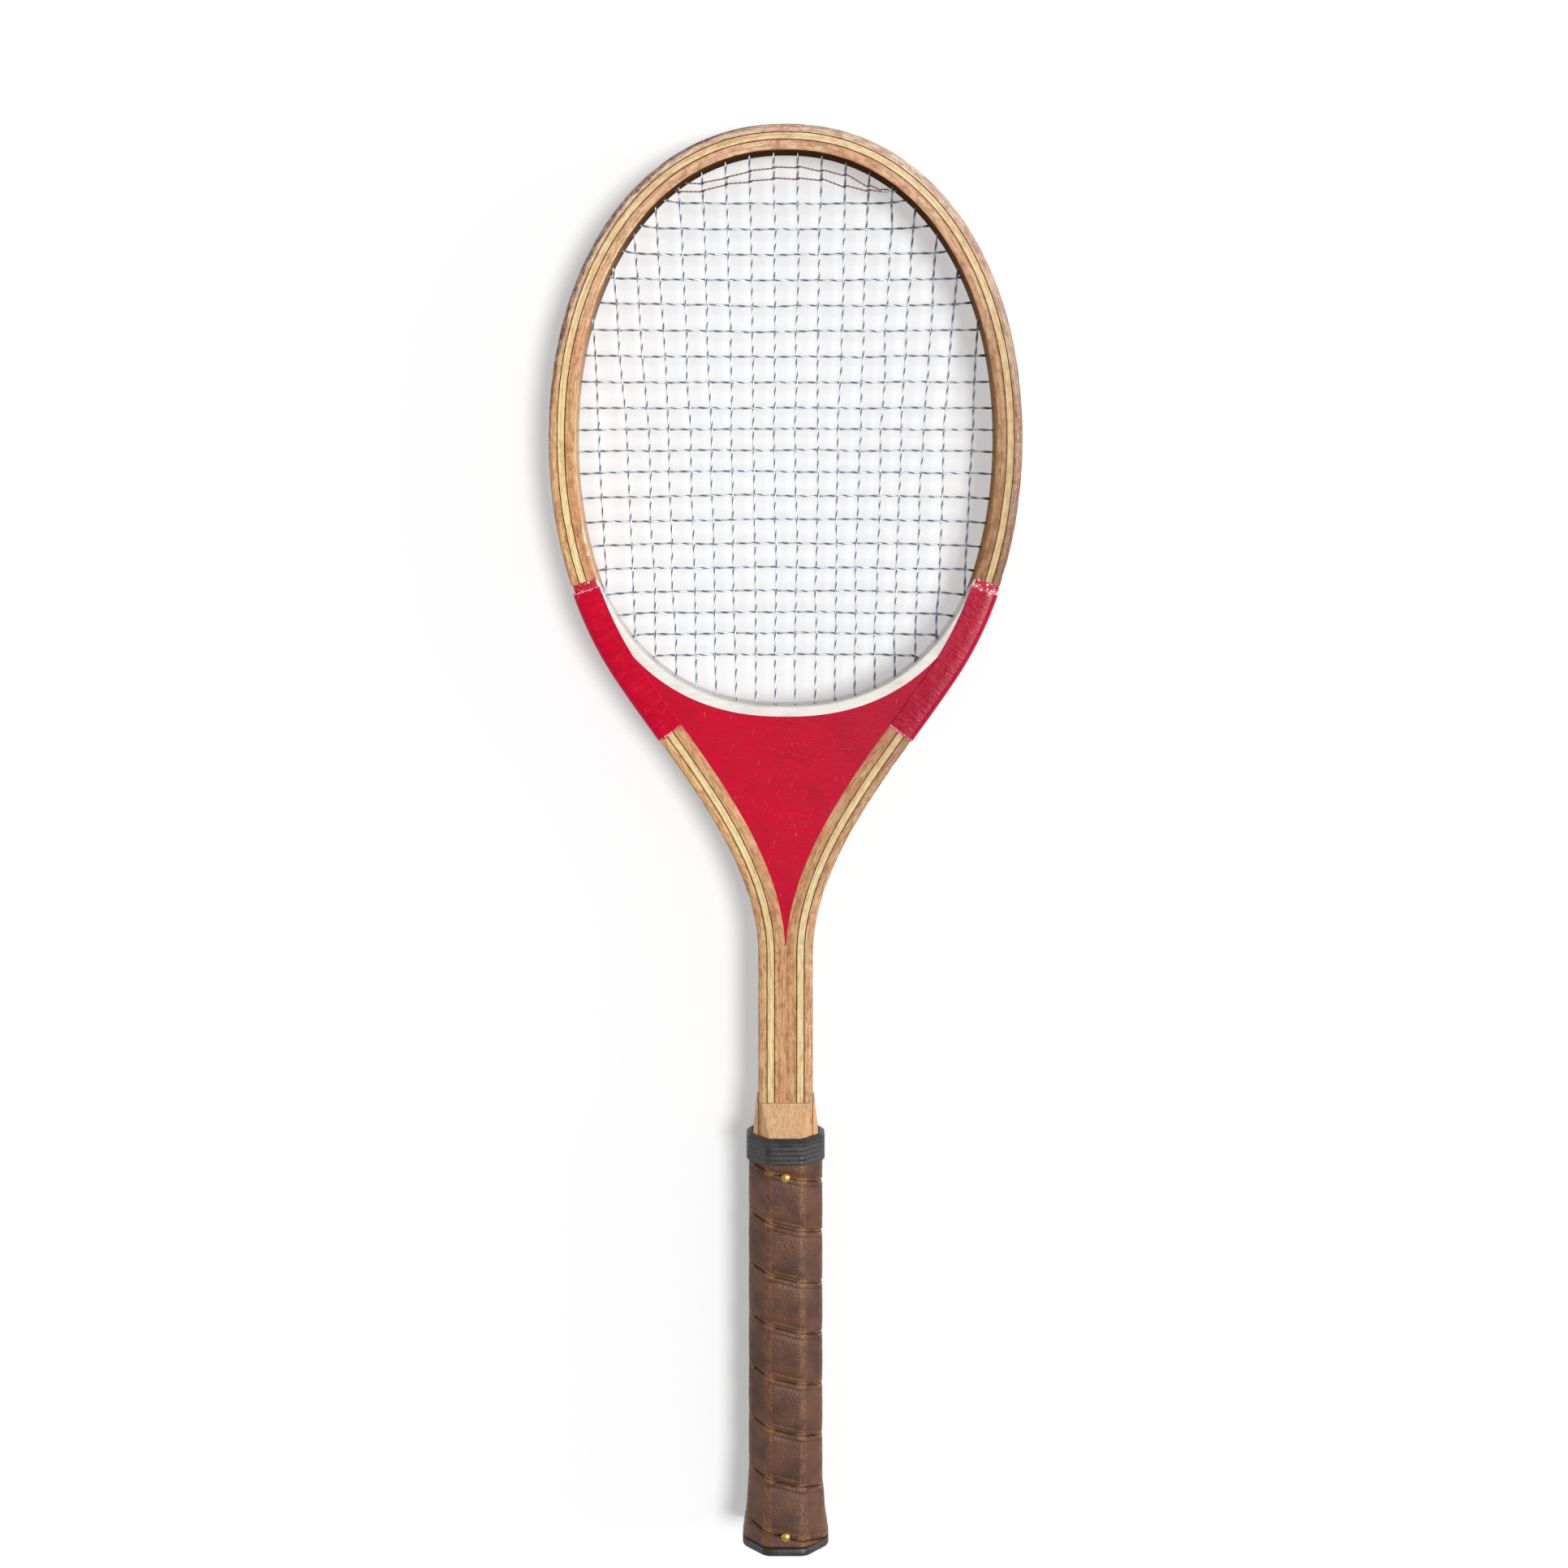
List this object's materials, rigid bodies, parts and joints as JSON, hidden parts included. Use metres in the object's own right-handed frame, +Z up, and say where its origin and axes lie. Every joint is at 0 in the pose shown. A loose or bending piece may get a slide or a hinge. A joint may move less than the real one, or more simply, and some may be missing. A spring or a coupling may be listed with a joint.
{
  "type": "wooden tennis racket",
  "caption": "Wooden tennis racket with a laminated hoop, red shoulder sleeves, woven wire strings, a throat wedge and an octagonal leather grip.",
  "frame": {"origin": "on the floor under the middle of the racket, as it lies flat", "axes": "+Y along the racket from the butt to the tip of the head, +Z up through its thickness, +X to the right seen from above"},
  "size_m": [0.2286, 0.6858, 0.038],
  "materials": {
    "brown_ash": "varnished, worn and scuffed at the edges",
    "pale_ash": "varnished",
    "dark_veneer": "varnished",
    "white_lacquer": "white paint, worn",
    "red_lacquer": "gloss red paint, scuffed",
    "steel_wire": "twisted pair of bright wires",
    "maroon_cord": "twisted thread",
    "basswood": "varnished",
    "leather": "worn, with a pressed edge",
    "black_tape": "wound tape",
    "black_cap": "smooth",
    "brass": "domed tack heads"
  },
  "bodies": {
    "root": {"outer_ply": "brown_ash", "outer_veneer": "dark_veneer", "centre_ply": "pale_ash", "inner_veneer": "dark_veneer", "inner_ply": "brown_ash", "crown_strip": "white_lacquer", "throat_wedge": "red_lacquer", "shoulder_sleeve_left": "red_lacquer", "shoulder_sleeve_right": "red_lacquer", "main_strings": "steel_wire", "cross_strings": "steel_wire", "trebling_upper": "maroon_cord", "trebling_lower": "maroon_cord", "trebling_crimp": "steel_wire", "handle_slab_front": "basswood", "handle_slab_back": "basswood", "handle_slab_left": "basswood", "handle_slab_right": "basswood", "butt_flare": "basswood", "butt_cap": "black_cap", "leather_grip": "leather", "grip_band": "black_tape", "butt_tack": "brass", "grip_tack": "brass"}
  },
  "joints": []
}
